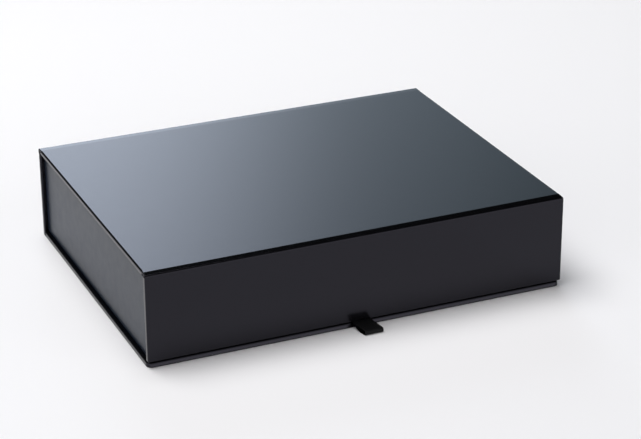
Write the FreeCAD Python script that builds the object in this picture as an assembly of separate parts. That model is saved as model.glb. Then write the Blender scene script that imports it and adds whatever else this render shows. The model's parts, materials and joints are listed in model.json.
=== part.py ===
"""Rigid gift box with a hinged lid, a magnetic front flap and a ribbon pull tab.

Millimetres, +Z up. The origin is the middle of the footprint on the table, -Y is the front with the
flap and +X is the right. The box is drawn closed. Every panel is greyboard wrapped in paper, and the
paper itself makes the hinges.
"""
import FreeCAD
import Part
import os
from FreeCAD import Placement, Rotation, Vector

os.makedirs("parts", exist_ok=True)

# Outside of the closed case
case_width = 230.0
case_depth = 176.0
case_height = 51.5

# Sheet materials
case_board = 2.4
tray_board = 2.0
wrap_paper = 0.2
lining_paper = 0.2
corner_tape = 0.1

# Wrapping: paper turned in over the boards, lining laid over the turn-ins, softened edges and corners
turn_in = 15.0
liner_margin = 3.0
edge_round = 0.45
flap_corner = 0.6
base_corner = 3.0

# Paper hinges: the bands between the boards and the round folds on the axes
fold_radius = 0.5
fold_clearance = 0.4
crease_drop = 0.5
hinge_gap = 1.5

# Room between the case and the tray
side_overhang = 2.25
flap_gap = 0.6
lid_gap = 0.3
flap_lift = 0.8
base_setback = 0.9

# Stay tapes on the tray's corners
tape_leg = 14.0
tape_end_margin = 2.0

# Magnetic closure: discs in the flap and in the tray's front wall
disc_diameter = 12.0
magnet_thickness = 1.5
keeper_thickness = 1.0
disc_clearance = 0.1
disc_inset = 40.0
disc_height = 16.0

# Ribbon: both ends behind the flap's lining, and the free loop that lies on the table
ribbon_width = 10.0
ribbon_thickness = 0.25
ribbon_clearance = 0.1
anchor_length = 24.0
tab_reach = 10.8
tab_stand_off = 0.3
tab_root_gap = 0.15
tab_root_web = 0.4
tab_end_height = 2.6
tab_touch_down = 4.2
tab_drift = 2.2
tab_end_round = 0.9
tab_foot_round = 2.0
tab_floor_gap = 0.1

# Planes and levels that several pieces share
half_width = case_width / 2
front = -case_depth / 2
rear = case_depth / 2
wrapped_board = wrap_paper + case_board + wrap_paper
panel = wrapped_board + lining_paper
flap_inside = front + panel
spine_inside = rear - panel
base_front = front + base_setback
board_end = spine_inside - hinge_gap
turn_in_edge = half_width - wrap_paper - turn_in
liner_edge = half_width - liner_margin
inner_round = edge_round - wrap_paper

# The hinge axes run along X through the middle of the round folds
axis_z = case_height - crease_drop - fold_radius
front_axis_y = front + fold_radius
rear_axis_y = rear - fold_radius
panel_top = axis_z - fold_radius - fold_clearance

# The tray's outside, and the layers of its walls and floor counted from that outside
tray_x = (-half_width + side_overhang, half_width - side_overhang)
tray_y = (flap_inside + flap_gap, spine_inside)
tray_z = (wrapped_board, case_height - panel - lid_gap)
wall_board_face = wrap_paper + corner_tape
wall_inner_face = wall_board_face + tray_board
wall = wall_inner_face + wrap_paper
floor_board_bottom = tray_z[0] + wrap_paper
floor_top = floor_board_bottom + tray_board

# The flap hangs over the base's front edge, and the ribbon leaves under it
flap_bottom = wrapped_board + flap_lift
flap_board_face = front + wrap_paper + case_board
ribbon_top = flap_bottom - ribbon_clearance
ribbon_bottom = ribbon_top - 2 * ribbon_thickness
tab_axis_y = front - tab_stand_off


def box(x, y, z):
    """A block between the two limits given on each axis."""
    return Part.makeBox(x[1] - x[0], y[1] - y[0], z[1] - z[0], Vector(x[0], y[0], z[0]))


def joined(shapes):
    """One clean solid from shapes that share faces."""
    return shapes[0].fuse(shapes[1:]).removeSplitter()


def both_ways(distance):
    """The span from minus to plus a distance."""
    return (-distance, distance)


def inset(span, amount):
    """A span with both ends moved inwards."""
    return (span[0] + amount, span[1] - amount)


def mirrored_pair(x):
    """A span on the right and the same span on the left."""
    return [x, (-x[1], -x[0])]


def offset_path(points, distance):
    """The open path of (y, z) points moved to its right, with mitred corners."""
    corners = [Vector(y, z, 0) for y, z in points]
    lines = []
    for start, end in zip(corners, corners[1:]):
        along = (end - start).normalize()
        shift = Vector(along.y, -along.x, 0) * distance
        lines.append((start + shift, end + shift, along))
    moved = [lines[0][0]]
    for (start, _, along), (other, _, turned) in zip(lines, lines[1:]):
        reach = (other - start).cross(turned).z / along.cross(turned).z
        moved.append(start + along * reach)
    moved.append(lines[-1][1])
    return [(point.x, point.y) for point in moved]


def outline(points):
    """A flat face in the YZ plane with straight sides through (y, z) points."""
    corners = [Vector(0, y, z) for y, z in points]
    return Part.Face(Part.makePolygon(corners + corners[:1]))


def along_x(face, x):
    """A face of the YZ plane run along X between two limits."""
    return face.translated(Vector(x[0], 0, 0)).extrude(Vector(x[1] - x[0], 0, 0))


def sheet(points, thickness, x):
    """A folded sheet: the (y, z) path thickened to its right and run along X."""
    return along_x(outline(points + offset_path(points, thickness)[::-1]), x)


def middle(edge):
    """The point half way along an edge."""
    return edge.valueAt((edge.FirstParameter + edge.LastParameter) / 2)


def near(value, target):
    """True where two lengths agree to a ten-thousandth of a millimetre."""
    return abs(value - target) < 1e-4


def rounded(solid, radius, wanted):
    """The solid with a fillet on every edge whose middle point passes the test."""
    return solid.makeFillet(radius, [edge for edge in solid.Edges if wanted(middle(edge))])


def soft_block(width, y, z, radius, edge_radius):
    """A panel's block with rounded corners at the low end of y, and rounded rims on its three free sides."""
    block = box(both_ways(width), y, z)
    block = rounded(block, radius, lambda p: near(abs(p.x), width) and near(p.y, y[0]))
    return rounded(block, edge_radius, lambda p: not near(p.y, y[1]) and (near(p.z, z[0]) or near(p.z, z[1])))


def three_edge_panel(length, board_length, corner_round):
    """Board and paper of a panel that lies flat, outer face down, with paper round three of its edges.

    The closed end is at y = 0 and the open end at y = length. The paper is turned in on the upper face.
    """
    board_y = (wrap_paper, board_length)
    board_z = (wrap_paper, wrap_paper + case_board)
    board_width = half_width - wrap_paper
    board = soft_block(board_width, board_y, board_z, corner_round - wrap_paper, inner_round)
    block = soft_block(half_width, (0, length), (0, wrapped_board), corner_round, edge_round)
    window = box(both_ways(turn_in_edge), (wrap_paper + turn_in, length), (board_z[1], wrapped_board))
    past_board = box(both_ways(board_width), (board_length, length + turn_in), (wrap_paper, wrapped_board))
    return board, block.cut([board, window, past_board])


def base():
    """The panel under the tray. The tray is glued on the turned-in paper."""
    length = board_end - base_front
    board, wrap = three_edge_panel(length, length, base_corner)
    to_front = Vector(0, base_front, 0)
    return {"base_board": board.translated(to_front), "base_wrap": wrap.translated(to_front)}


def two_edge_wrap(skin, path, board, mould):
    """Paper turned in round a board's left and right edges and shaped by a mould with rounded edges.

    The skin covers the outer face. The turned-in paper follows the path over the board's other faces.
    """
    bounds = board.BoundBox
    parts = [skin]
    for x in mirrored_pair((turn_in_edge, half_width)):
        parts.append(sheet(path, wrap_paper, x))
        parts.append(box(x, (bounds.YMin, bounds.YMax), (bounds.ZMin, bounds.ZMax)))
    return joined(parts).common(mould).cut(board)


def two_edge_liner(path):
    """Lining that follows a path on the board and steps over the turned-in paper at the left and right."""
    parts = [sheet(path, lining_paper, both_ways(turn_in_edge))]
    for x in mirrored_pair((turn_in_edge - lining_paper, turn_in_edge)):
        parts.append(sheet(path, wrap_paper + lining_paper, x))
    for x in mirrored_pair((turn_in_edge, liner_edge)):
        parts.append(sheet(offset_path(path, wrap_paper), lining_paper, x))
    return joined(parts)


def spine():
    """The panel behind the tray. Its paper runs round the lower crease and on to the base's edge."""
    outer = rear - wrap_paper
    inner = outer - case_board
    board_z = (wrap_paper, panel_top - wrap_paper - lining_paper)
    board_width = half_width - wrap_paper
    board = box(both_ways(board_width), (inner, outer), board_z)
    board = rounded(board, inner_round, lambda p: near(abs(p.x), board_width) and near(p.z, sum(board_z) / 2))
    board = rounded(board, fold_radius - wrap_paper, lambda p: near(p.y, outer) and near(p.z, wrap_paper))
    full = both_ways(half_width)
    skin = sheet([(rear, panel_top), (rear, 0), (board_end, 0)], wrap_paper, full)
    crease = box(full, (rear - fold_radius, rear), (0, fold_radius))
    mould = box(full, (board_end, rear), (0, panel_top))
    mould = rounded(mould, edge_round, lambda p: near(abs(p.x), half_width) and near(p.y, rear))
    mould = rounded(mould, fold_radius, lambda p: near(p.y, rear) and near(p.z, 0))
    head = [(outer, board_z[1]), (inner, board_z[1])]
    wrap = two_edge_wrap(joined([skin, crease]), head + [(inner, wrap_paper)], board, mould)
    liner = two_edge_liner(head + [(inner, tray_z[0])])
    return {"spine_board": board, "spine_wrap": wrap, "spine_liner": liner}


def lid():
    """The lid panel. Its paper and lining run on as a hinge band to the fold at the front and the rear."""
    low = case_height - crease_drop
    top = [(front_axis_y, low), (-board_end, case_height), (board_end, case_height), (rear_axis_y, low)]
    under = offset_path(top, wrap_paper)
    board_y = (under[1][0], under[2][0])
    board_z = (under[1][1] - case_board, under[1][1])
    board = box(both_ways(half_width - wrap_paper), board_y, board_z)
    board = rounded(board, inner_round, lambda p: near(p.y, 0) and not near(p.x, 0))
    path = under[:2] + [(board_y[0], board_z[0]), (board_y[1], board_z[0])] + under[2:]
    mould = box(both_ways(half_width), (front, rear), (board_z[0] - wrap_paper, case_height))
    mould = rounded(mould, edge_round, lambda p: near(p.y, 0) and not near(p.x, 0))
    folds = {}
    for name, y in (("front_fold", front_axis_y), ("rear_fold", rear_axis_y)):
        start = Vector(-half_width, y, axis_z)
        folds[name] = Part.makeCylinder(fold_radius, case_width, start, Vector(1, 0, 0))
    skin = sheet(top, wrap_paper, both_ways(half_width))
    wrap = two_edge_wrap(skin, path, board, mould).cut(list(folds.values()))
    liner = two_edge_liner(path).cut(list(folds.values()))
    return {"lid_board": board, "lid_wrap": wrap, "lid_liner": liner, **folds}


def disc_places():
    """The two discs by name, with their places along X, counted from the case's ends."""
    return {"left": -half_width + disc_inset, "right": half_width - disc_inset}


def disc(x, face_y, depth, way, clearance=0):
    """A disc let into an upright face, or its pocket when given a clearance."""
    radius = disc_diameter / 2 + clearance
    return Part.makeCylinder(radius, depth, Vector(x, face_y, disc_height), Vector(0, way, 0))


def flap():
    """The flap that hangs in front of the tray, with its magnets and the ribbon's glued ends."""
    length = panel_top - flap_bottom
    board_length = length - wrap_paper - lining_paper
    board, wrap = three_edge_panel(length, board_length, flap_corner)
    inner_z = wrap_paper + case_board
    end = [(board_length, wrap_paper), (board_length, inner_z)]
    for x in mirrored_pair((turn_in_edge, half_width - wrap_paper)):
        wrap = joined([wrap, sheet(end + [(board_length - turn_in, inner_z)], wrap_paper, x)])
    turned = wrap_paper + turn_in
    step_z = (inner_z, wrapped_board + lining_paper)
    liner = joined([
        two_edge_liner(end + [(turned, inner_z)]),
        box(both_ways(turn_in_edge), (turned, turned + lining_paper), step_z),
        box(both_ways(liner_edge), (liner_margin, turned), (wrapped_board, step_z[1])),
    ])
    upright = Rotation(Vector(0, 0, 1), 180) * Rotation(Vector(1, 0, 0), 90)
    stand_up = Placement(Vector(0, front, flap_bottom), upright).Matrix
    board, wrap, liner = [shape.transformed(stand_up) for shape in (board, wrap, liner)]

    magnets = {}
    for side, x in disc_places().items():
        board = board.cut(disc(x, flap_board_face, magnet_thickness, -1, disc_clearance))
        magnets["flap_magnet_" + side] = disc(x, flap_board_face, magnet_thickness, -1)

    ribbon_back = flap_board_face - 2 * ribbon_thickness
    anchor_top = flap_bottom + anchor_length
    slot_x = both_ways(ribbon_width / 2 + ribbon_clearance)
    slot = box(slot_x, (ribbon_back, flap_board_face), (flap_bottom, anchor_top))
    way_out = [(flap_board_face, ribbon_bottom), (tab_axis_y + tab_root_gap, ribbon_bottom)]
    path = [(flap_board_face, anchor_top)] + way_out
    anchor = sheet(path, 2 * ribbon_thickness, both_ways(ribbon_width / 2))
    pieces = {"flap_board": board.cut(slot), "flap_wrap": wrap.cut(slot), "flap_liner": liner}
    return {**pieces, **magnets, "ribbon_anchor": anchor}


def tray_wall(length):
    """Board and paper of one wall, with mitred ends: x runs along the wall, y inwards.

    The paper starts under the floor, goes up the outside, over the rim and down to the floor inside.
    """
    board_z = (floor_board_bottom, tray_z[1] - wrap_paper)
    board = box((0, length), (wall_board_face, wall_inner_face), board_z)
    path = [(turn_in, tray_z[0]), (0, tray_z[0]), (0, tray_z[1]), (wall, tray_z[1]), (wall, floor_top)]
    wrap = sheet(path, wrap_paper, (0, length))
    wrap = rounded(wrap, edge_round, lambda p: near(p.z, tray_z[1]) and (near(p.y, 0) or near(p.y, wall)))
    depth = turn_in + wall
    plan = [(0, 0), (length, 0), (length - depth, depth), (depth, depth), (0, 0)]
    base_line = Part.makePolygon([Vector(x, y, tray_z[0]) for x, y in plan])
    mitre = Part.Face(base_line).extrude(Vector(0, 0, tray_z[1] - tray_z[0]))
    return board.common(mitre), wrap.common(mitre)


def corner_stay():
    """A strip of tape folded round the upright corner of the boards where x and y are 0."""
    z = inset((floor_board_bottom, tray_z[1] - wrap_paper), tape_end_margin)
    leg = (wrap_paper, wrap_paper + tape_leg)
    thickness = (wrap_paper, wrap_paper + corner_tape)
    return joined([box(leg, thickness, z), box(thickness, leg, z)])


def tray():
    """Four walls round a floor, taped at the corners, papered, with steel discs in the front wall."""
    width = tray_x[1] - tray_x[0]
    depth = tray_y[1] - tray_y[0]
    walls = [
        ("front", "front_left", (tray_x[0], tray_y[0]), width),
        ("right", "front_right", (tray_x[1], tray_y[0]), depth),
        ("rear", "rear_right", (tray_x[1], tray_y[1]), width),
        ("left", "rear_left", (tray_x[0], tray_y[1]), depth),
    ]
    pieces = {}
    for quarter, (side, corner, start, length) in enumerate(walls):
        turn = Placement(Vector(*start, 0), Rotation(Vector(0, 0, 1), 90 * quarter)).Matrix
        board, wrap = tray_wall(length)
        pieces["tray_" + side + "_board"] = board.transformed(turn)
        pieces["tray_" + side + "_wrap"] = wrap.transformed(turn)
        pieces["corner_tape_" + corner] = corner_stay().transformed(turn)
    disc_face = tray_y[0] + wall_board_face
    for side, x in disc_places().items():
        pocket = disc(x, disc_face, keeper_thickness, 1, disc_clearance)
        pieces["tray_front_board"] = pieces["tray_front_board"].cut(pocket)
        pieces["keeper_disc_" + side] = disc(x, disc_face, keeper_thickness, 1)
    floor_z = (floor_board_bottom, floor_top)
    liner_z = (floor_top, floor_top + lining_paper)
    pieces["tray_floor_board"] = box(inset(tray_x, wall_inner_face), inset(tray_y, wall_inner_face), floor_z)
    pieces["tray_floor_liner"] = box(inset(tray_x, wall), inset(tray_y, wall), liner_z)
    return pieces


def loop_block(loop, x, foot_round, end_round):
    """The loop's side view run along X, with rounded bends at its foot and at the two corners of its end."""
    block = along_x(outline(loop), x)
    block = rounded(block, foot_round, lambda p: near(p.y, loop[1][0]) and near(p.z, loop[1][1]))
    return rounded(block, end_round, lambda p: any(near(p.y, y) and near(p.z, z) for y, z in loop[2:4]))


def pull_tab():
    """The free loop of ribbon: an upper run, an open fold at the end and a lower run on the table."""
    root_y = tab_axis_y - tab_root_gap
    end_y = front - tab_reach
    foot = (root_y - tab_touch_down, tab_floor_gap)
    end = [(end_y, tab_floor_gap), (end_y, tab_floor_gap + tab_end_height)]
    loop = [(root_y, ribbon_bottom), foot] + end + [(root_y, ribbon_top)]
    inside = offset_path(loop, ribbon_thickness)
    x = both_ways(ribbon_width / 2 + tab_drift)
    ribbon = loop_block(loop, x, tab_foot_round, tab_end_round)
    hollow = loop_block(inside, x, tab_foot_round - ribbon_thickness, tab_end_round - ribbon_thickness)
    web = box(x, (root_y - tab_root_web, root_y), (tab_floor_gap, ribbon_top))
    left = Vector(-ribbon_width / 2, root_y, 0)
    right = Vector(ribbon_width / 2, root_y, 0)
    lay = Vector(tab_drift, end_y - root_y, 0)
    plan = Part.Face(Part.makePolygon([left, right, right + lay, left + lay, left]))
    return {"ribbon_pull_tab": ribbon.cut(hollow.cut(web)).common(plan.extrude(Vector(0, 0, ribbon_top)))}


for make in (base, spine, tray, lid, flap, pull_tab):
    for node, shape in make().items():
        if len(shape.Solids) != 1 or not shape.isValid():
            raise ValueError(node + " is not one sound solid")
        shape.exportStep("parts/" + node + ".step")
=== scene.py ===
# %% [markdown]
# # A black gift box in satin paper
# A rigid box with a hinged lid, a flap that closes on magnets and a ribbon to pull it open.
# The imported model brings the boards, linings and joints. This lesson gives the box what a
# bookbinder would: one black sheet turned round every edge, soft folds for hinges and a ribbon.

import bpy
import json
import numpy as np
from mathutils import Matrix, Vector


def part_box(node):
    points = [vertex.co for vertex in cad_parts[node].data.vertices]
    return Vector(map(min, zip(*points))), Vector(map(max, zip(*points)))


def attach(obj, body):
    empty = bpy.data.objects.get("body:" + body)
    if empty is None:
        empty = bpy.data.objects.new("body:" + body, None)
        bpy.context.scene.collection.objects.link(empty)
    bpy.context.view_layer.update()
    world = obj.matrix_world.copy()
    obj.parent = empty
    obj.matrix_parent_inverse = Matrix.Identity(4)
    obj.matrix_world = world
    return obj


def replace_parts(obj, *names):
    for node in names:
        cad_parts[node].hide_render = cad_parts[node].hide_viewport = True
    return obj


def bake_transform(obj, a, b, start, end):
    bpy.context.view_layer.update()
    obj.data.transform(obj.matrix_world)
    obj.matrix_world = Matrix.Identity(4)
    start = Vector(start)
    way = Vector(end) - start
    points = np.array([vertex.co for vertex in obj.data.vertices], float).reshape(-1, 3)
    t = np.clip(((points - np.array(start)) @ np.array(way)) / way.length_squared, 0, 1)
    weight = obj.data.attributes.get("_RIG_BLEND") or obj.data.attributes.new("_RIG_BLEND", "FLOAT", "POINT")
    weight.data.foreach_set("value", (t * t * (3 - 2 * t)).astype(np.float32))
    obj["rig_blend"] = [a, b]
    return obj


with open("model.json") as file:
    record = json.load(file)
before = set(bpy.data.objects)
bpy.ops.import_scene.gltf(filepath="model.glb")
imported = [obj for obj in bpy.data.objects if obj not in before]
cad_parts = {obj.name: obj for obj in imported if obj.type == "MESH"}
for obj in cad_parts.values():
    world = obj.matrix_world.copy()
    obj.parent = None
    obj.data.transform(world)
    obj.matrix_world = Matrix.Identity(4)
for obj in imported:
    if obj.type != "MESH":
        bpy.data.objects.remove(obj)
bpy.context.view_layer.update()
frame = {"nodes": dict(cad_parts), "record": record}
nodes = frame["nodes"]

# %% [markdown]
# ## Units
# Blender works in metres and a box maker in millimetres. The lengths below are in millimetres, because they
# are easier to read that way, and a mesh is scaled to metres once, when its shape is done.

# %% Tools and units
import json
import math

import bmesh
import bpy
from mathutils import Matrix, Vector

MM = 0.001
MICRON = 1e-6
X, Y, Z = range(3)


def limits(node):
    """A node's lowest and highest corner in millimetres."""
    low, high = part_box(node)
    return low / MM, high / MM


case_low, case_high = limits("base_wrap")
print("the base is", [round(size, 1) for size in case_high - case_low], "mm")

# %% [markdown]
# ## The camera
# The photograph was taken from the front left, a little above the box, with a long lens.
# A camera could be placed by eye, but then every edge is a little off. Here its place was
# worked out from the box's corners, so the script only turns those numbers into an object.

# %% Camera
CAMERA_PLACE = Vector((-410.6, -984.7, 501.5)) * MM
CAMERA_AZIMUTH = math.radians(-23.395)
CAMERA_HEIGHT_ANGLE = math.radians(24.136)
CAMERA_ROLL = math.radians(-0.291)
SENSOR_WIDTH = 36.0
FOCAL_LENGTH = 121.87

level = math.cos(CAMERA_HEIGHT_ANGLE)
backwards = Vector((
    math.sin(CAMERA_AZIMUTH) * level,
    -math.cos(CAMERA_AZIMUTH) * level,
    math.sin(CAMERA_HEIGHT_ANGLE),
))
sight = (-backwards).to_track_quat("-Z", "Y").to_matrix().to_4x4()
camera_data = bpy.data.cameras.new("camera")
camera_data.sensor_fit = "HORIZONTAL"
camera_data.sensor_width = SENSOR_WIDTH
camera_data.lens = FOCAL_LENGTH
camera = bpy.data.objects.new("camera", camera_data)
camera.matrix_world = Matrix.Translation(CAMERA_PLACE) @ sight @ Matrix.Rotation(CAMERA_ROLL, 4, "Z")
bpy.context.scene.collection.objects.link(camera)
bpy.context.scene.camera = camera
print("the camera stands", round(CAMERA_PLACE.length, 2), "m from the box")

# %% [markdown]
# ## Materials
# Almost everything is black, so the finishes have to differ in sheen and grain instead of colour. Each is a
# Principled shader whose sockets are either set to a value or fed by other nodes. They could be wired by hand
# in the editor. A few small functions do it here, so that a finish reads as a list of its sockets.

# %% Nodes and their sockets
def feed(tree, socket, value):
    """Links a socket to another one, or sets it to a value."""
    if isinstance(value, bpy.types.NodeSocket):
        tree.links.new(value, socket)
    else:
        socket.default_value = value


def set_inputs(tree, node, **inputs):
    """Feeds a node's sockets by their names, with underscores for spaces."""
    for name, value in inputs.items():
        feed(tree, node.inputs[name.replace("_", " ")], value)


def add_node(tree, kind, settings=None, **inputs):
    """A new node with its settings and its sockets."""
    made = tree.nodes.new(kind)
    for name, value in (settings or {}).items():
        setattr(made, name, value)
    set_inputs(tree, made, **inputs)
    return made


def new_material(name):
    """A new material, its node tree and its Principled shader."""
    material = bpy.data.materials.new(name)
    material.use_nodes = True
    return material, material.node_tree, material.node_tree.nodes["Principled BSDF"]


print("helpers for nodes:", [helper.__name__ for helper in (feed, set_inputs, add_node, new_material)])

# %% [markdown]
# ### Patterns
# Paper is never quite even. A noise texture on Object coordinates gives a number from 0 to 1 everywhere, and
# other nodes make it visible: a Map Range node as gloss, a Bump node as height, a Mix node as a colour between
# two. Pictures of paper would do as well, but noise needs no file and has no seam.

# %% Patterns
NOISE_LOW, NOISE_HIGH = 0.3, 0.7


def noise(tree, scale, detail=3.0, roughness=0.5):
    """A noise pattern, as a number from 0 to 1."""
    place = add_node(tree, "ShaderNodeTexCoord").outputs["Object"]
    return add_node(tree, "ShaderNodeTexNoise", Vector=place, Scale=scale, Detail=detail,
                    Roughness=roughness).outputs["Fac"]


def spread(tree, value, low, high):
    """The range where most of a noise pattern lies, spread over another range."""
    return add_node(tree, "ShaderNodeMapRange", Value=value, From_Min=NOISE_LOW, From_Max=NOISE_HIGH,
                    To_Min=low, To_Max=high).outputs["Result"]


def bump(tree, heights, depth, **under):
    """A surface normal from a pattern of heights, with its depth in metres, over another one if given."""
    return add_node(tree, "ShaderNodeBump", Height=heights, Distance=depth, **under).outputs["Normal"]


def blend_colours(tree, factor, first, second):
    """A colour between two, by a pattern."""
    return add_node(tree, "ShaderNodeMix", {"data_type": "RGBA"}, Factor=factor, A=(*first, 1.0),
                    B=(*second, 1.0)).outputs["Result"]


print("helpers for patterns:", [helper.__name__ for helper in (noise, spread, bump, blend_colours)])

# %% [markdown]
# ### Covering papers
# The case is covered in black paper with a satin film, and the tray in the same black paper with a faint
# sheen at grazing angles. The tray's paper is tinted blue in its colour, its reflection and its sheen: painted
# bluish light, standing in for the bluish room light on its walls. What makes a plain dark sheet look real is a
# slow mottle in its gloss and fibres in its surface. One function makes every paper, because they differ only
# in colour, gloss and grain.

# %% Covering papers
MOTTLE_SCALE, GLOSS_SCALE, FIBRE_SCALE = 45.0, 160.0, 2600.0
FIBRE_DETAIL, FIBRE_ROUGHNESS = 4.0, 0.6


def paper(name, dark, light, roughness, grain, ior=1.45, tint=(1.0, 1.0, 1.0)):
    """Paper with fibres in its surface and a slow mottle in its colour and gloss."""
    material, tree, shader = new_material(name)
    mottle = spread(tree, noise(tree, MOTTLE_SCALE), 0.0, 1.0)
    fibres = noise(tree, FIBRE_SCALE, FIBRE_DETAIL, FIBRE_ROUGHNESS)
    set_inputs(tree, shader, Base_Color=blend_colours(tree, mottle, dark, light),
               Roughness=spread(tree, noise(tree, GLOSS_SCALE), *roughness),
               Normal=bump(tree, fibres, grain), IOR=ior, Specular_Tint=(*tint, 1.0))
    return material


satin_paper = paper("satin_black_paper", dark=(0.0008, 0.0008, 0.0010), light=(0.0014, 0.0014, 0.0017),
                    roughness=(0.175, 0.19), grain=0.5 * MICRON, ior=1.42, tint=(0.79, 0.77, 0.94))
# Painted bluish light: the blue in this paper's colour and reflection tint stands in for bluish room light on
# the tray.
tray_paper = paper("satin_black_paper_painted_blue_light", dark=(0.0011, 0.0012, 0.0018), light=(0.0017, 0.0019, 0.0027),
                   roughness=(0.28, 0.32), grain=0.5 * MICRON, ior=1.3, tint=(0.55, 0.78, 1.0))
tray_tree = tray_paper.node_tree
# The blue tint of the sheen is painted bluish light as well.
set_inputs(tray_tree, tray_tree.nodes["Principled BSDF"],
           Sheen_Weight=0.07, Sheen_Roughness=0.35, Sheen_Tint=(0.3, 0.5, 1.0, 1.0))
print("covering papers:", satin_paper.name, tray_paper.name)

# %% [markdown]
# ### Linings, board and tape
# Inside are a matt black lining, bare greyboard and the brown tape that holds the tray's corners. They have no
# film, so they are rougher and their fibres stand higher. The lining over the magnets is a finish of its own,
# because it gets marks that the rest of the lining doesn't have.

# %% Linings, board and tape
LINING = dict(dark=(0.010, 0.010, 0.010), light=(0.015, 0.015, 0.015),
              roughness=(0.55, 0.66), grain=14 * MICRON)
lining_paper = paper("matt_black_lining", **LINING)
over_magnets = paper("lining_over_magnets", **LINING)
greyboard = paper("bare_greyboard", dark=(0.28, 0.26, 0.23), light=(0.42, 0.39, 0.35),
                  roughness=(0.85, 0.95), grain=40 * MICRON)
stay_tape = paper("brown_stay_tape", dark=(0.50, 0.37, 0.22), light=(0.58, 0.45, 0.28),
                  roughness=(0.60, 0.72), grain=10 * MICRON)
print("inner finishes:", [made.name for made in (lining_paper, over_magnets, greyboard, stay_tape)])

# %% [markdown]
# ### Ramps and sums
# The marks of the discs, and later the room, are drawn with numbers alone. A smooth ramp rises from 0 between
# two values, and Math nodes add or multiply such ramps, much as masks are stacked in a paint program.

# %% Ramps and sums
def fade(tree, value, start, end, high=1.0):
    """A number that rises softly from 0 to a height while another goes from start to end."""
    return add_node(tree, "ShaderNodeMapRange", {"interpolation_type": "SMOOTHSTEP"}, Value=value,
                    From_Min=start, From_Max=end, To_Min=0.0, To_Max=high).outputs["Result"]


def combine(tree, kind, first, *others):
    """Numbers taken together by one kind of sum, from left to right."""
    result = first
    for other in others:
        made = add_node(tree, "ShaderNodeMath", {"operation": kind})
        feed(tree, made.inputs[0], result)
        feed(tree, made.inputs[1], other)
        result = made.outputs[0]
    return result


print("helpers for ramps:", [helper.__name__ for helper in (fade, combine)])

# %% [markdown]
# ### Marks of the discs
# Two magnets sit under the flap's lining and two steel discs under the tray's paper. When glue dries, the
# paper sinks a little and shows a soft ring there. Modelling that would cost faces for a few hundredths of
# a millimetre, so a second bump, laid over the paper's own, draws it from the distance to the discs.

# %% Pressed rings
DISC_DEPTH = 0.09 * MM
RING_INSIDE, RING_OUTSIDE = 0.5, 0.7
SHORT_OF_INSIDE = 1.0


def press_rings(material, farthest_y):
    """Adds the discs' marks to a finish, only in front of a given depth, and returns their radius."""
    tree = material.node_tree
    low, high = limits("flap_magnet_right")
    middle, radius = (low + high) / 2, (high.x - low.x) / 2
    place = add_node(tree, "ShaderNodeTexCoord").outputs["Object"]
    parts = add_node(tree, "ShaderNodeSeparateXYZ", Vector=place).outputs
    aside = add_node(tree, "ShaderNodeMath", {"operation": "ABSOLUTE"}, Value=parts["X"]).outputs[0]
    away = add_node(tree, "ShaderNodeVectorMath", {"operation": "DISTANCE"})
    feed(tree, away.inputs[0], add_node(tree, "ShaderNodeCombineXYZ", X=aside, Z=parts["Z"]).outputs[0])
    feed(tree, away.inputs[1], (middle.x * MM, 0, middle.z * MM))
    ring = fade(tree, away.outputs["Value"], (radius - RING_INSIDE) * MM, (radius + RING_OUTSIDE) * MM)
    beyond = combine(tree, "GREATER_THAN", parts["Y"], farthest_y * MM)
    heights = combine(tree, "MAXIMUM", ring, beyond)
    normal = tree.nodes["Principled BSDF"].inputs["Normal"]
    fibres = normal.links[0].from_socket
    feed(tree, normal, bump(tree, heights, DISC_DEPTH, Normal=fibres))
    return radius


press_rings(tray_paper, limits("tray_front_board")[1].y - SHORT_OF_INSIDE)
print("rings with a radius of", press_rings(over_magnets, 0.0), "mm")

# %% [markdown]
# ### Metal
# The magnets are plated with nickel and the discs that they pull on are plain steel. A metal mirrors light in
# its own colour, so Metallic is 1. Both are hidden under paper, so a fine noise in colour and gloss will do.

# %% Metal
METAL_SCALE, METAL_DETAIL = 900.0, 2.0


def disc_metal(name, dark, light, roughness):
    """Metal with a fine, even grain in its colour and gloss."""
    material, tree, shader = new_material(name)
    grain = noise(tree, METAL_SCALE, METAL_DETAIL)
    set_inputs(tree, shader, Base_Color=blend_colours(tree, grain, dark, light),
               Roughness=spread(tree, grain, *roughness), Metallic=1.0)
    return material


keeper_steel = disc_metal("keeper_steel", dark=(0.42, 0.42, 0.43), light=(0.55, 0.55, 0.56),
                          roughness=(0.30, 0.42))
nickel = disc_metal("nickel_plate", dark=(0.62, 0.60, 0.55), light=(0.72, 0.70, 0.66),
                    roughness=(0.12, 0.20))
print("metals:", keeper_steel.name, nickel.name)

# %% [markdown]
# ### The ribbon's weave
# The pull is a narrow black ribbon with fine ribs across it. The ribs follow the ribbon round its
# fold, so they read an attribute that holds the distance along it, and not a place in space.

# %% Ribbon material
RIB_PITCH = 0.55 * MM
RIB_DEPTH = 25 * MICRON
THREAD_SCALE, THREAD_DETAIL = 2500.0, 2.0


def woven_ribbon(name, dark, light, roughness, specular):
    """Ribbon with ribs across it and a soft mottle of threads."""
    material, tree, shader = new_material(name)
    run = add_node(tree, "ShaderNodeAttribute", {"attribute_name": "run"}).outputs["Fac"]
    turns = combine(tree, "MULTIPLY", run, 2 * math.pi / RIB_PITCH)
    ribs = add_node(tree, "ShaderNodeMath", {"operation": "SINE"}, Value=turns).outputs[0]
    threads = noise(tree, THREAD_SCALE, THREAD_DETAIL)
    set_inputs(tree, shader, Base_Color=blend_colours(tree, threads, dark, light),
               Roughness=spread(tree, threads, *roughness), Normal=bump(tree, ribs, RIB_DEPTH),
               Specular_IOR_Level=specular)
    return material


ribbon_weave = woven_ribbon("black_ribbon", dark=(0.001, 0.001, 0.0012), light=(0.003, 0.003, 0.0036),
                            roughness=(0.45, 0.6), specular=0.16)
print("ribs every", RIB_PITCH / MM, "mm")

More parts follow.
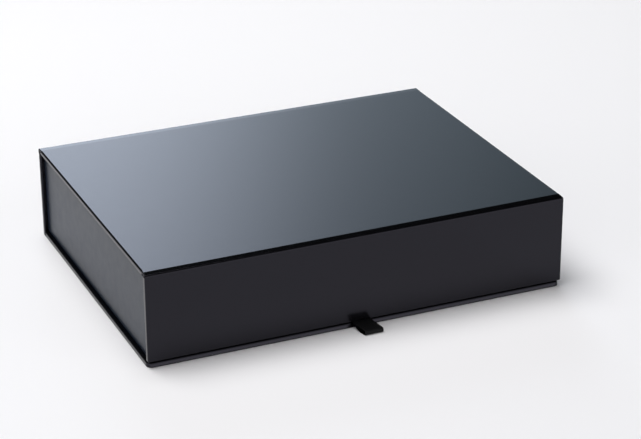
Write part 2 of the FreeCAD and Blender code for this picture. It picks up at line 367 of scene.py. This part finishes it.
# %% [markdown]
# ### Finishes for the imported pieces
# Linings, tapes, inner boards and discs stay as they were packed and only need a finish. Each could be given
# one by hand. The record already says what each is made of, so a table from its words to the finishes does it.

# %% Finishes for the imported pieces
finish_of_slot = {
    "greyboard": greyboard,
    "case_paper": satin_paper,
    "tray_paper": tray_paper,
    "lining_paper": lining_paper,
    "stay_tape": stay_tape,
    "ribbon": ribbon_weave,
    "keeper_steel": keeper_steel,
    "magnet": nickel,
}
for subpart in frame["record"]["subparts"]:
    slots = nodes[subpart["node"]].data.materials
    slots.clear()
    slots.append(finish_of_slot[subpart["material_slot"]])
nodes["flap_liner"].data.materials[0] = over_magnets

# %% [markdown]
# ## Wrapped panels
# A panel is a board with paper glued over its outer face and turned in round the edges. It could
# be a plain box, but then the inside would show a slab when the lid opens. So each one starts as a
# solid outline, gets its edges rounded with bevel, and loses the faces that carry no paper. A
# Solidify modifier then gives the sheet its real thickness, inwards.

# %% Measures of the paper
PAPER = 0.2
TURN_IN = 15.0
HALF_WIDTH = case_high.x
TURN_IN_EDGE = HALF_WIDTH - PAPER - TURN_IN
print("paper", PAPER, "mm thick, turned in by", TURN_IN, "mm on a case", 2 * HALF_WIDTH, "mm wide")

# %% [markdown]
# ### Blocks with rounded edges
# A board or a panel is a block whose edges are a little worn. A Bevel modifier rounds all sharp edges alike.
# Here some have to be softer than others, so bmesh bevels just those that pass a test on their two ends.

# %% Blocks and bevels
ARRIS, SOFT_ARRIS = 0.45, 1.1
ARRIS_STEPS, CORNER_STEPS, SOFT_STEPS, FOLD_STEPS = 4, 6, 8, 10


def block(low, high):
    """A bmesh cube between two corners, in millimetres."""
    shape = bmesh.new()
    bmesh.ops.create_cube(shape, size=1.0)
    low, high = Vector(low), Vector(high)
    bmesh.ops.scale(shape, vec=high - low, verts=shape.verts)
    bmesh.ops.translate(shape, vec=(low + high) / 2, verts=shape.verts)
    return shape


def bevel(shape, edges, radius, steps=ARRIS_STEPS):
    """Rounds edges with a bevel, and returns how many there were."""
    bmesh.ops.bevel(shape, geom=edges, offset=radius, offset_type="OFFSET", segments=steps, profile=0.5,
                    affect="EDGES", clamp_overlap=True, material=-1)
    return len(edges)


def edges_where(shape, wanted):
    """The edges whose two ends pass a test."""
    return [edge for edge in shape.edges if wanted(edge.verts[0].co, edge.verts[1].co)]


def round_edges(shape, radius, wanted, steps=ARRIS_STEPS):
    """Bevels the edges whose two ends pass a test."""
    return bevel(shape, edges_where(shape, wanted), radius, steps)


print("edges are rounded by", ARRIS, "mm, and by", SOFT_ARRIS, "mm where they are soft")

# %% [markdown]
# ### Tests for edges
# An edge's index changes with every cut, so it is safer to find the edge by its place. These small tests ask
# whether both ends lie on a side of the box or at one height, or whether the edge runs along an axis.

# %% Tests for edges
SAME_LENGTH = 1e-3
SHORT_EDGE = 1.0


def close_to(value, target):
    """True where two lengths are the same."""
    return abs(value - target) < SAME_LENGTH


def at(axis, value):
    """A test for the edges with both ends at one value of an axis."""
    return lambda a, b: close_to(a[axis], value) and close_to(b[axis], value)


def on_side(a, b):
    """True for the edges on the left or the right side of the case."""
    return close_to(abs(a.x), HALF_WIDTH) and close_to(a.x, b.x)


def side_edge(axis, value):
    """A test for the edges on the left or the right side that are also at one value of an axis."""
    return lambda a, b: on_side(a, b) and at(axis, value)(a, b)


def along(axis, height=None):
    """A test for the long edges along an axis, all of them or only those at one height."""
    def wanted(a, b):
        length = abs((b - a)[axis])
        at_height = height is None or close_to(a.z, height)
        return length > SHORT_EDGE and close_to((b - a).length, length) and at_height
    return wanted


print("tests for edges:", [helper.__name__ for helper in (at, on_side, side_edge, along)])

# %% [markdown]
# ### From a shape to an object
# A bmesh is only a draft. To be seen it has to become a mesh in an object, scaled to metres and with a finish.
# Smooth shading makes a bevel of a few faces look round. It would smear light over real corners too, so those
# are marked sharp, and so is the rim of a sheet, where an edge has a single face.

# %% Objects from shapes
SHARP = math.radians(35)


def make_object(name, shape, material):
    """An object in metres from a bmesh in millimetres, with its finish."""
    bmesh.ops.scale(shape, vec=(MM, MM, MM), verts=shape.verts)
    mesh = bpy.data.meshes.new(name)
    shape.to_mesh(mesh)
    shape.free()
    mesh.materials.append(material)
    made = bpy.data.objects.new(name, mesh)
    bpy.context.scene.collection.objects.link(made)
    return made


def make_piece(name, shape, material):
    """A piece of the box, shaded smoothly between its sharp edges."""
    shape.normal_update()
    for edge in shape.edges:
        edge.smooth = edge.calc_face_angle(math.pi) < SHARP
    piece = make_object(name, shape, material)
    piece.data.polygons.foreach_set("use_smooth", [True] * len(piece.data.polygons))
    return piece


print("edges count as sharp from", round(math.degrees(SHARP)), "degrees")

# %% [markdown]
# ### The boards inside
# Greyboard has crisp cut edges, but pressing and wrapping round them off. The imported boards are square,
# and would poke through paper that is rounded more than they are. Where the paper is very soft, a
# bevelled block of the same size takes the board's place.

# %% Boards with soft edges
def board_core(node, body, rounds):
    """A board inside its paper, with the same soft edges as the sheet over it."""
    shape = block(*limits(node))
    for radius, wanted in rounds:
        round_edges(shape, radius - PAPER, wanted, CORNER_STEPS)
    core = make_piece(node + "_core", shape, greyboard)
    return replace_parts(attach(core, body), node)


print("a board under a soft edge is rounded by", round(SOFT_ARRIS - PAPER, 2), "mm")

# %% [markdown]
# ### From a block to a sheet
# Paper covers only some of a block's faces. Cuts mark where the turned-in paper ends, the bare faces are
# deleted, and two modifiers follow: Solidify for the thickness, and Weighted Normal, which keeps the large
# faces flat in the light. Modelling both sides of the sheet by hand would take twice the work.

# %% Sheets
FACING = 0.9


def cut(shape, axis, value):
    """Cuts every face at one value of an axis, without taking anything away."""
    normal = Vector((0, 0, 0))
    normal[axis] = 1
    bmesh.ops.bisect_plane(shape, geom=shape.verts[:] + shape.edges[:] + shape.faces[:],
                           plane_co=normal * value, plane_no=normal)


def cut_turn_ins(shape):
    """Cuts a panel where the paper of its left and right side ends."""
    for way in (-1, 1):
        cut(shape, X, way * TURN_IN_EDGE)


def drop_faces(shape, unwanted):
    """Deletes the faces that pass a test on their middle and normal."""
    shape.normal_update()
    faces = [face for face in shape.faces if unwanted(face.calc_center_median(), face.normal)]
    bmesh.ops.delete(shape, geom=faces, context="FACES")


def give_thickness(piece, thickness, offset=-1.0):
    """Turns a surface into a sheet, inwards unless told otherwise."""
    solid = piece.modifiers.new("thickness", "SOLIDIFY")
    solid.thickness = thickness * MM
    solid.offset = offset
    solid.use_even_offset = True
    weighted = piece.modifiers.new("flat_faces", "WEIGHTED_NORMAL")
    weighted.keep_sharp = True
    return piece


print("the paper of the sides ends", round(TURN_IN_EDGE, 1), "mm from the middle")

# %% [markdown]
# ### The lid
# The lid's paper covers one large board. The long side edges are the ones that the eye meets first, so
# they get a wide, soft round. Such an edge is what draws the thin dark line along a satin panel: it mirrors
# the dim room beside the light. At the front and the back the top stays open, for the hinges.

# %% Lid shape
LOWER_ARRIS = 1.2
BEND_START = 0.2
END_DROP = 0.3
HAIR = 0.01
lid_low, lid_high = limits("lid_wrap")
lid_board_low, lid_board_high = limits("lid_board")
lid_top, board_end = lid_high.z, lid_board_high.y
LID_END = board_end - BEND_START
lid_reach = board_end + PAPER

lid_shape = block((-HALF_WIDTH, -lid_reach, lid_low.z), (HALF_WIDTH, lid_reach, lid_top))
round_edges(lid_shape, SOFT_ARRIS, side_edge(Z, lid_top), SOFT_STEPS)
round_edges(lid_shape, LOWER_ARRIS, side_edge(Z, lid_low.z), CORNER_STEPS)
for way in (-1, 1):
    cut(lid_shape, X, way * TURN_IN_EDGE)
    cut(lid_shape, Y, way * LID_END)
drop_faces(lid_shape, lambda p, n: abs(p.x) < TURN_IN_EDGE and (n.z < -FACING or abs(n.y) > FACING))
drop_faces(lid_shape, lambda p, n: LID_END < abs(p.y) < lid_reach - HAIR and p.z > lid_top - SOFT_ARRIS)
for corner in lid_shape.verts:
    if close_to(abs(corner.co.y), lid_reach):
        corner.co.z = min(corner.co.z, lid_top - END_DROP)
print("the lid's top is open", round(lid_reach - LID_END, 2), "mm from each end")

# %% Lid cover
lid_cover = give_thickness(make_piece("lid_cover", lid_shape, satin_paper), PAPER)
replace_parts(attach(lid_cover, "lid"), "lid_wrap")
board_core("lid_board", "lid", [
    (SOFT_ARRIS, along(Y, lid_board_high.z)),
    (LOWER_ARRIS, along(Y, lid_board_low.z)),
])
print("lid cover faces:", len(lid_cover.data.polygons))

# %% [markdown]
# ### The flap
# The flap's paper is turned in at the bottom and both sides, and stays open at the top, where it goes
# on into the hinge. A cube with bevelled corners and rims is the quickest start for such a panel.

# %% Flap cover
FLAP_CORNER = 0.6
flap_low, flap_high = limits("flap_wrap")
panel_end = flap_high.z - PAPER
flap_turn_in_top = flap_low.z + PAPER + TURN_IN


def flap_rim(a, b):
    """True for the rims of the flap's two faces, except along its open top."""
    return close_to(a.y, b.y) and not at(Z, panel_end)(a, b)


flap_shape = block(flap_low, (flap_high.x, flap_high.y, panel_end))
round_edges(flap_shape, FLAP_CORNER, side_edge(Z, flap_low.z), CORNER_STEPS)
print("flap edges rounded:", round_edges(flap_shape, ARRIS, flap_rim))
cut_turn_ins(flap_shape)
cut(flap_shape, Z, flap_turn_in_top)
drop_faces(flap_shape, lambda p, n: n.z > FACING and abs(p.x) < TURN_IN_EDGE)
drop_faces(flap_shape, lambda p, n: n.y > FACING and abs(p.x) < TURN_IN_EDGE and p.z > flap_turn_in_top)
flap_cover = give_thickness(make_piece("flap_cover", flap_shape, satin_paper), PAPER)
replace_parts(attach(flap_cover, "flap"), "flap_wrap")
print("flap cover faces:", len(flap_cover.data.polygons))

# %% [markdown]
# ### The base and the spine
# One sheet goes under the base, round the crease at the back and up the spine. Two blocks would leave a seam
# there, so one outline, seen from the side, is pulled across the box. It is an L with a thin strip in its
# corner, where there is paper but no board.

# %% Case outline
CREASE_STRIP = 0.3


def solid_along_x(points, half_width):
    """A bmesh solid: an outline of (y, z) points, in millimetres, pulled along X."""
    shape = bmesh.new()
    corners = [shape.verts.new((-half_width, y, z)) for y, z in points]
    shape.faces.new(corners)
    pulled = bmesh.ops.extrude_face_region(shape, geom=shape.faces[:])
    moved = [item for item in pulled["geom"] if isinstance(item, bmesh.types.BMVert)]
    bmesh.ops.translate(shape, verts=moved, vec=(2 * half_width, 0, 0))
    bmesh.ops.recalc_face_normals(shape, faces=shape.faces)
    return shape


spine_high = limits("spine_wrap")[1]
spine_inner = limits("spine_board")[0].y - PAPER
case_outline = [
    (case_low.y, 0), (spine_high.y, 0), (spine_high.y, panel_end), (spine_inner, panel_end),
    (spine_inner, CREASE_STRIP), (case_high.y, CREASE_STRIP), (case_high.y, case_high.z),
    (case_low.y, case_high.z),
]
case_shape = solid_along_x(case_outline, HALF_WIDTH)
print("the case's outline has", len(case_outline), "corners")

# %% [markdown]
# ### Soft edges of the case
# The base's front corners are round, its rims soft, and its front edge leans a little, as thick wrapped board
# does. Bevels make the rounds. For the lean, each corner of the mesh near the front is moved by its height,
# outwards below the middle and inwards above it.

# %% Case edges
BASE_CORNER = 3.0
BASE_ARRIS = 1.1
FRONT_SLANT = 0.8
ABOVE_BASE = 1.0


def rim_at(height):
    """A test for the base's free rims at a height, without its rear end."""
    return lambda a, b: at(Z, height)(a, b) and not at(Y, case_high.y)(a, b)


def spine_upright(a, b):
    """True for the spine's four upright arrises."""
    return on_side(a, b) and close_to(a.y, b.y) and abs(a.z - b.z) > case_high.z + ABOVE_BASE


round_edges(case_shape, BASE_CORNER, side_edge(Y, case_low.y), FOLD_STEPS)
print("case edges rounded:", round_edges(case_shape, SOFT_ARRIS, spine_upright, SOFT_STEPS),
      round_edges(case_shape, BASE_ARRIS, rim_at(case_high.z), SOFT_STEPS),
      round_edges(case_shape, ARRIS, rim_at(0)))
turn_x, turn_y = HALF_WIDTH - BASE_CORNER, case_low.y + BASE_CORNER
for corner in case_shape.verts:
    ahead = turn_y - corner.co.y
    if ahead > 0:
        aside = math.copysign(max(0.0, abs(corner.co.x) - turn_x), corner.co.x)
        outwards = Vector((aside, -ahead, 0)).normalized()
        lean = FRONT_SLANT * min(1.0, ahead / BASE_CORNER) * (corner.co.z / case_high.z - 0.5)
        corner.co -= outwards * lean

# %% [markdown]
# ### The case's cover
# The sheet is turned in over the base's front and sides. Further in, the bare board is glued to the tray, and
# so is the spine. The faces there are dropped, and the two boards get the same round edges as their paper.

# %% Case cover
BOARD_CLEARANCE = 0.3
base_turn_in_end = case_low.y + PAPER + TURN_IN


def past_turn_ins(p):
    """True further in than the paper that is turned in over the base."""
    return abs(p.x) < TURN_IN_EDGE and p.y > base_turn_in_end


cut_turn_ins(case_shape)
cut(case_shape, Y, base_turn_in_end)
drop_faces(case_shape, lambda p, n: past_turn_ins(p) and (n.z > FACING or n.y < -FACING))
drop_faces(case_shape, lambda p, n: n.z > FACING and p.z > case_high.z + ABOVE_BASE and abs(p.x) < TURN_IN_EDGE)
drop_faces(case_shape, lambda p, n: n.y > FACING and close_to(p.y, case_high.y))
case_cover = give_thickness(make_piece("case_cover", case_shape, satin_paper), PAPER)
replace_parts(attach(case_cover, "case"), "base_wrap", "spine_wrap")
board_core("base_board", "case", [
    (BASE_CORNER, along(Z)),
    (BASE_ARRIS + BOARD_CLEARANCE, at(Z, limits("base_board")[1].z)),
])
board_core("spine_board", "case", [(SOFT_ARRIS, along(Z))])
print("case cover faces:", len(case_cover.data.polygons))

# %% [markdown]
# ### The paper hinges
# Between the lid and the flap, and between the lid and the spine, only paper bends: it leaves the lid's
# board, slopes down a little and folds over. Each hinge is an L-shaped bar with rounded ends, of which only
# the outer skin is kept. It could be a flat strip, but then its ends would show no turned-in hem.

# %% Hinge bars
FOLD_ROUND = 0.8
HINGE_BULK = 1.2
SEAM = 0.005
LID_LAP, PANEL_LAP = 0.5, 0.8
OUTWARD = 0.05


def crossing(y, z):
    """A test for the line that crosses the box at one place of the side view."""
    return lambda a, b: at(Y, y)(a, b) and at(Z, z)(a, b)


def slide(line, axis, amount):
    """Moves a line that crosses the box: its left end by an amount, its right end not at all."""
    for corner in line[0].verts:
        corner.co[axis] += amount * (0.5 - corner.co.x / (2 * HALF_WIDTH))


def hinge_bar(way, drop, askew, sag):
    """A solid for the fold at the front (way -1) or the rear (way 1), whose bend and fold may run askew."""
    start = (LID_END - LID_LAP, lid_top - SEAM)
    edge = (board_end, lid_top - SEAM)
    fold = (spine_high.y + SEAM, lid_top - drop)
    end = (spine_high.y + SEAM, panel_end - PANEL_LAP)
    inside = [(y - bulk_y, z - bulk_z) for (y, z), bulk_y, bulk_z in (
        (end, HINGE_BULK, 0), (fold, HINGE_BULK, HINGE_BULK), (edge, 0, HINGE_BULK), (start, 0, HINGE_BULK))]
    bar = solid_along_x([(way * y, z) for y, z in [start, edge, fold, end] + inside], HALF_WIDTH)
    fold_line = edges_where(bar, crossing(way * fold[0], fold[1]))
    bend_line = edges_where(bar, crossing(way * edge[0], edge[1]))
    slide(bend_line, Y, way * askew)
    slide(fold_line, Z, -sag)
    bevel(bar, fold_line, FOLD_ROUND, FOLD_STEPS)
    bevel(bar, bend_line, BEND_START, SOFT_STEPS)
    bar.normal_update()
    outer = [face for face in bar.faces if face.normal.z > OUTWARD or way * face.normal.y > OUTWARD]
    outer_edges = {rim for face in outer for rim in face.edges}
    bevel(bar, [rim for rim in edges_where(bar, on_side) if rim in outer_edges], SOFT_ARRIS, SOFT_STEPS)
    return bar


print("the hinges fold", round(spine_high.y - board_end, 2), "mm from the lid's board")

# %% [markdown]
# ### From a bar to a hinge
# The bar's ends and inner faces go, and the hem at each end gets narrower towards the fold, because a wide one
# would crumple when the hinge opens.

# %% Hinge folds
THIN_HEM = 1.0
HALFWAY_ROUND = 0.72
HEM_TIGHTENS = 0.6
FLAT = 0.999
INWARD, LEVEL_ACROSS = 0.5, 0.1
BLEND_BACK, BLEND_BELOW, BLEND_ABOVE = 1.0, 0.4, 0.1


def hinge(name, way, drop, askew, sag, bodies, node):
    """A paper hinge between two bodies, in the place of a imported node."""
    bar = hinge_bar(way, drop, askew, sag)
    face_y = spine_high.y
    drop_faces(bar, lambda p, n: abs(n.x) > FLAT)
    drop_faces(bar, lambda p, n: abs(n.x) < LEVEL_ACROSS and (n.z < -INWARD or way * n.y < -INWARD))
    drop_faces(bar, lambda p, n: abs(n.x) > HALFWAY_ROUND and way * p.y > face_y - THIN_HEM)
    for corner in bar.verts:
        along_band = min(1.0, max(0.0, (way * corner.co.y - board_end) / (face_y - FOLD_ROUND - board_end)))
        from_side = (HALF_WIDTH - abs(corner.co.x)) * (1 - HEM_TIGHTENS * along_band)
        if from_side < SOFT_ARRIS:
            corner.co.x = math.copysign(HALF_WIDTH - from_side, corner.co.x)
    piece = make_piece(name, bar, satin_paper)
    give_thickness(piece, PAPER)
    blend_start = Vector((0, way * (face_y - BLEND_BACK), lid_top - BLEND_BELOW)) * MM
    blend_end = Vector((0, way * face_y, panel_end + BLEND_ABOVE)) * MM
    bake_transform(piece, *bodies, start=blend_start, end=blend_end)
    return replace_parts(piece, node)


front_hinge = hinge("front_hinge", -1, drop=0.6, askew=1.8, sag=0.35, bodies=("lid", "flap"), node="front_fold")
rear_hinge = hinge("rear_hinge", 1, drop=0.15, askew=0.0, sag=0.0, bodies=("lid", "case"), node="rear_fold")
print("hinge faces:", len(front_hinge.data.polygons), len(rear_hinge.data.polygons))

# %% [markdown]
# ### The ribbon pull
# One narrow ribbon, doubled: both ends are glued behind the flap's lining, and the loop lies in front
# of the box. A curve with a flat profile could make it, but it may twist at tight bends. So it is a path
# seen from the side, with rounded bends, pulled across. A layer named run stores the distance along it, for
# the ribs.

# %% Folded strip
BEND_STEPS = 5


def folded_strip(path, half_width, rounds):
    """A bmesh strip: a path of (y, z) points with rounded bends, pulled along X."""
    shape = bmesh.new()
    run = shape.verts.layers.float.new("run")
    line = [shape.verts.new((-half_width, y, z)) for y, z in path]
    for start, end in zip(line, line[1:]):
        shape.edges.new((start, end))
    for point, radius in zip(line[1:-1], rounds):
        bmesh.ops.bevel(shape, geom=[point], offset=radius, offset_type="OFFSET", segments=BEND_STEPS,
                        profile=0.5, affect="VERTICES", clamp_overlap=True, material=-1)
    here, passed = line[0], None
    while here:
        ahead = [edge.other_vert(here) for edge in here.link_edges if edge.other_vert(here) != passed]
        if passed:
            here[run] = passed[run] + (here.co - passed.co).length * MM
        here, passed = (ahead[0] if ahead else None), here
    pulled = bmesh.ops.extrude_edge_only(shape, edges=shape.edges[:])
    moved = [item for item in pulled["geom"] if isinstance(item, bmesh.types.BMVert)]
    bmesh.ops.translate(shape, verts=moved, vec=(2 * half_width, 0, 0))
    bmesh.ops.recalc_face_normals(shape, faces=shape.faces)
    return shape


print("each bend of the ribbon has", BEND_STEPS, "steps")

# %% [markdown]
# ### The ribbon's path
# Down behind the flap, out under it, round the loop and back, with the two layers lying on each other where
# they are held. The loop's end drifts a little to one side, as a soft ribbon does. Its blend is as short as
# its bend, because only there does a ribbon give way when the tab is lifted.

# %% Ribbon path
RIBBON_WIDTH = 10.0
RIBBON_THICKNESS = 0.25
END_GAP = 0.1
HALF_BEND = 0.15
FOOT_LENGTH = 4.35
LOOP_HEIGHT = 2.6
anchor_high = limits("ribbon_anchor")[1]
tab_low, tab_high = limits("ribbon_pull_tab")
half = RIBBON_THICKNESS / 2
behind_flap = anchor_high.y - half
held_end = anchor_high.z - END_GAP
upper = tab_high.z - half
lower = upper - RIBBON_THICKNESS
root = tab_high.y + HALF_BEND
foot = root - FOOT_LENGTH
far = tab_low.y + half
ribbon_path = [
    (behind_flap - RIBBON_THICKNESS, held_end), (behind_flap - RIBBON_THICKNESS, upper), (root, upper),
    (far, tab_low.z + LOOP_HEIGHT - half), (far, tab_low.z + half), (foot, tab_low.z + half), (root, lower),
    (behind_flap, lower), (behind_flap, held_end),
]
ribbon_bends = [0.2, 0.15, 0.9, 0.9, 2.0, 0.15, 0.3]
ribbon_shape = folded_strip(ribbon_path, RIBBON_WIDTH / 2, ribbon_bends)
drift = tab_high.x - RIBBON_WIDTH / 2
for corner in ribbon_shape.verts:
    corner.co.x += drift * max(0.0, (tab_high.y - corner.co.y) / (tab_high.y - tab_low.y))

# %% Ribbon
ribbon_pull = make_piece("ribbon_pull", ribbon_shape, ribbon_weave)
give_thickness(ribbon_pull, RIBBON_THICKNESS, offset=0.0)
bend_start = Vector((0, root + HALF_BEND, upper)) * MM
bend_end = Vector((0, root - HALF_BEND, upper)) * MM
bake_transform(ribbon_pull, "flap", "pull_tab", start=bend_start, end=bend_end)
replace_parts(ribbon_pull, "ribbon_anchor", "ribbon_pull_tab")
print("ribbon faces:", len(ribbon_pull.data.polygons))

# %% [markdown]
# ### The tray
# The tray's paper goes up the outside, over the rim and down the inside to the floor. One cube can
# become all of that: inset its top to the wall's thickness, push the middle down to the floor, and
# take away the faces with no paper.

# %% Tray shape
tray_low, tray_high = limits("tray_front_wrap")
tray_rear_high = limits("tray_rear_wrap")[1]
tray_floor_low = limits("tray_floor_liner")[0]
wall = tray_floor_low.x - tray_low.x
tray_shape = block(tray_low, (tray_high.x, tray_rear_high.y, tray_high.z))
tray_shape.normal_update()
rim_face = [face for face in tray_shape.faces if face.normal.z > FACING]
bmesh.ops.inset_region(tray_shape, faces=rim_face, thickness=wall, use_even_offset=True)
pit = bmesh.ops.extrude_face_region(tray_shape, geom=rim_face)["geom"]
pit_corners = [item for item in pit if isinstance(item, bmesh.types.BMVert)]
bmesh.ops.translate(tray_shape, verts=pit_corners, vec=(0, 0, tray_floor_low.z - tray_high.z))
bmesh.ops.delete(tray_shape, geom=rim_face, context="FACES_ONLY")
bmesh.ops.recalc_face_normals(tray_shape, faces=tray_shape.faces)
print("the tray's wall is", round(wall, 2), "mm thick")

# %% Tray cover
BELOW_RIM = 1.0
tray_shape.normal_update()
folded = [edge for edge in tray_shape.edges if edge.calc_face_angle(0.0) > SHARP]
print("tray edges rounded:", bevel(tray_shape, folded, ARRIS))
tray_shape.normal_update()
underside = [face for face in tray_shape.faces if face.normal.z < -FLAT]
bmesh.ops.inset_region(tray_shape, faces=underside, thickness=TURN_IN, use_even_offset=True)
bmesh.ops.delete(tray_shape, geom=underside, context="FACES")
drop_faces(tray_shape, lambda p, n: n.z > FACING and p.z < tray_high.z - BELOW_RIM)
tray_cover = give_thickness(make_piece("tray_cover", tray_shape, tray_paper), PAPER)
tray_wraps = ["tray_" + side + "_wrap" for side in ("front", "right", "rear", "left")]
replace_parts(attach(tray_cover, "case"), *tray_wraps)
print("tray cover faces:", len(tray_cover.data.polygons))

# %% [markdown]
# ## The studio
# The box stands on a pale sweep of paper. Its grey is painted lighter towards the back: painted light, for the
# light that is stronger there. A bent sheet could be modelled for it, but the camera looks down and meets
# nothing but floor, so one large plane with a blend of two greys will do.

# %% Floor
FLOOR_REACH = 6000
PAINTED_LIGHT_DEPTH = 0.4
# The far grey is painted light: the floor's colour grows lighter behind the box, where the light is stronger.
FLOOR_NEAR, FAR_FLOOR_PAINTED_LIGHT = (0.885, 0.883, 0.893), (0.93, 0.928, 0.935)

floor_material, floor_tree, floor_shader = new_material("pale_floor")
floor_place = add_node(floor_tree, "ShaderNodeTexCoord").outputs["Object"]
floor_depth = add_node(floor_tree, "ShaderNodeSeparateXYZ", Vector=floor_place).outputs["Y"]
painted_light_share = add_node(floor_tree, "ShaderNodeMapRange", Value=floor_depth, From_Min=0.0,
                   From_Max=PAINTED_LIGHT_DEPTH).outputs["Result"]
set_inputs(floor_tree, floor_shader, Base_Color=blend_colours(floor_tree, painted_light_share, FLOOR_NEAR, FAR_FLOOR_PAINTED_LIGHT),
           Roughness=0.9)
floor_shape = bmesh.new()
bmesh.ops.create_grid(floor_shape, x_segments=1, y_segments=1, size=FLOOR_REACH)
floor = make_object("floor", floor_shape, floor_material)
print("the floor reaches", FLOOR_REACH * MM, "m each way")

# %% [markdown]
# ### The light
# One broad soft light hangs above, a little behind and to the left, so that the shadow falls short and to the
# right. A small lamp would draw a hard shadow, and a sky alone would draw hardly any.

# %% Soft light
SOFTBOX_PLACE = Vector((-0.5, 0.34, 2.2))
SOFTBOX_SIZE = 1.7
SOFTBOX_POWER = 53.5
SOFTBOX_COLOUR = (1.0, 0.995, 1.0)

softbox_data = bpy.data.lights.new("overhead_softbox", "AREA")
softbox_data.shape = "RECTANGLE"
softbox_data.size = softbox_data.size_y = SOFTBOX_SIZE
softbox_data.energy = SOFTBOX_POWER
softbox_data.color = SOFTBOX_COLOUR
softbox = bpy.data.objects.new("overhead_softbox", softbox_data)
softbox.location = SOFTBOX_PLACE
softbox.rotation_mode = "QUATERNION"
softbox.rotation_quaternion = (-SOFTBOX_PLACE).to_track_quat("-Z", "Y")
bpy.context.scene.collection.objects.link(softbox)
print("the light hangs", round(SOFTBOX_PLACE.length, 2), "m from the box")

# %% [markdown]
# ### The room
# Satin paper is a dull mirror, so most of what the eye sees on this box is the room. The lid mirrors a tall
# bluish window behind on the left that fades to the right, its front edge the dark ceiling, and the foot of
# the box the pale space in front. An HDR picture could hold such a room. Here a few soft ramps draw it: each
# takes one direction of sight, from -1 to 1, and says where it starts and ends and how bright it gets.

# %% Directions in the room
WINDOW_EDGE = math.radians(21.5)
WINDOW_LEAN = (0.35, 0, 1)
world = bpy.data.worlds.new("studio")
bpy.context.scene.world = world
world.use_nodes = True
room = world.node_tree
direction = add_node(room, "ShaderNodeTexCoord").outputs["Generated"]
turned = add_node(room, "ShaderNodeMapping", Vector=direction, Rotation=(0, 0, WINDOW_EDGE)).outputs["Vector"]
parts = add_node(room, "ShaderNodeSeparateXYZ", Vector=turned).outputs
across, behind, height = parts["X"], parts["Y"], parts["Z"]
leaning = add_node(room, "ShaderNodeVectorMath", {"operation": "DOT_PRODUCT"})
feed(room, leaning.inputs[0], turned)
feed(room, leaning.inputs[1], WINDOW_LEAN)
print("the window's edge is turned by", round(math.degrees(WINDOW_EDGE), 1), "degrees")

# %% Window and walls
opening = combine(room, "MULTIPLY", fade(room, across, -0.32, -0.2), fade(room, behind, 0.1, 0.3),
                  fade(room, height, 0.08, 0.2), fade(room, leaning.outputs["Value"], 0.57, 0.46))
glow = combine(room, "ADD", fade(room, across, 0.055, -0.095, high=2.35),
               fade(room, across, 0.2, -0.02, high=0.6))
window = combine(room, "MULTIPLY", glow, opening)
spill = combine(room, "MULTIPLY", fade(room, across, 0.5, 0.0, high=0.45), opening)
front_wall = combine(room, "MULTIPLY", fade(room, behind, 0.0, -0.5, high=0.65), fade(room, height, 0.85, 0.5))
front_glow = combine(room, "MULTIPLY", fade(room, behind, 0.4, 0.0, high=0.9), fade(room, height, 0.4, 0.1))
far_floor = fade(room, height, 0.06, 0.0, high=0.8)
ceiling = fade(room, height, 1.0, 0.0, high=0.03)
walls = combine(room, "ADD", front_wall, front_glow, far_floor, ceiling)
print("the ramps take", len(room.nodes), "nodes")

# %% Colours of the room
WINDOW_COLOUR, SPILL_COLOUR, WALL_COLOUR = (0.92, 1.0, 1.15), (0.72, 1.0, 1.16), (1.0, 0.985, 1.0)
daylight = None
for colour, strength in ((WINDOW_COLOUR, window), (SPILL_COLOUR, spill), (WALL_COLOUR, walls)):
    shine = add_node(room, "ShaderNodeBackground", Color=(*colour, 1.0), Strength=strength).outputs[0]
    if daylight:
        both = add_node(room, "ShaderNodeAddShader")
        feed(room, both.inputs[0], daylight)
        feed(room, both.inputs[1], shine)
        shine = both.outputs[0]
    daylight = shine
set_inputs(room, room.nodes["World Output"], Surface=daylight)
print("the room is drawn with", len(room.nodes), "nodes")

# %% [markdown]
# ## Colour management
# The Standard view shows colours as they were set, where a filmic one would dull the pale floor.

# %% Colour management
bpy.context.scene.view_settings.view_transform = "Standard"
